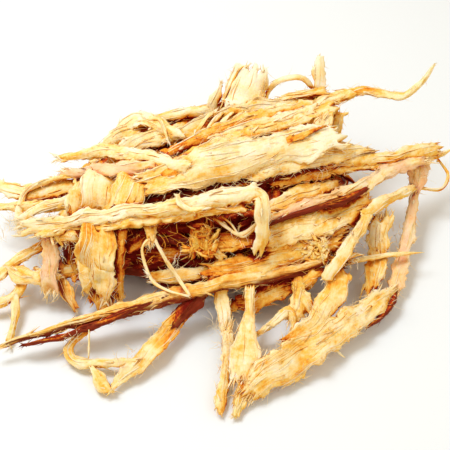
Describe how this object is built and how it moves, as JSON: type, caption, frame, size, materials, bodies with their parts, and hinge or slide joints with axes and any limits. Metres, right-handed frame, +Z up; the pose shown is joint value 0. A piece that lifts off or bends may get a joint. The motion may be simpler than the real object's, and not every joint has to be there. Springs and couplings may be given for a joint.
{
  "type": "heap of shredded dried pollock",
  "caption": "Loose heap of torn dried white fish strips, long and fibrous, lying across each other with some hanging over the front and the ends.",
  "frame": {"origin": "on the surface the heap lies on, under the middle of its box", "axes": "+X along most of the strips, +Y away from the side they spread over, +Z up"},
  "size_m": [0.2568, 0.198, 0.0737],
  "materials": {
    "dried_fish": "matte, fibrous"
  },
  "bodies": {
    "root": {"pollock_heap": "dried_fish"}
  },
  "joints": []
}
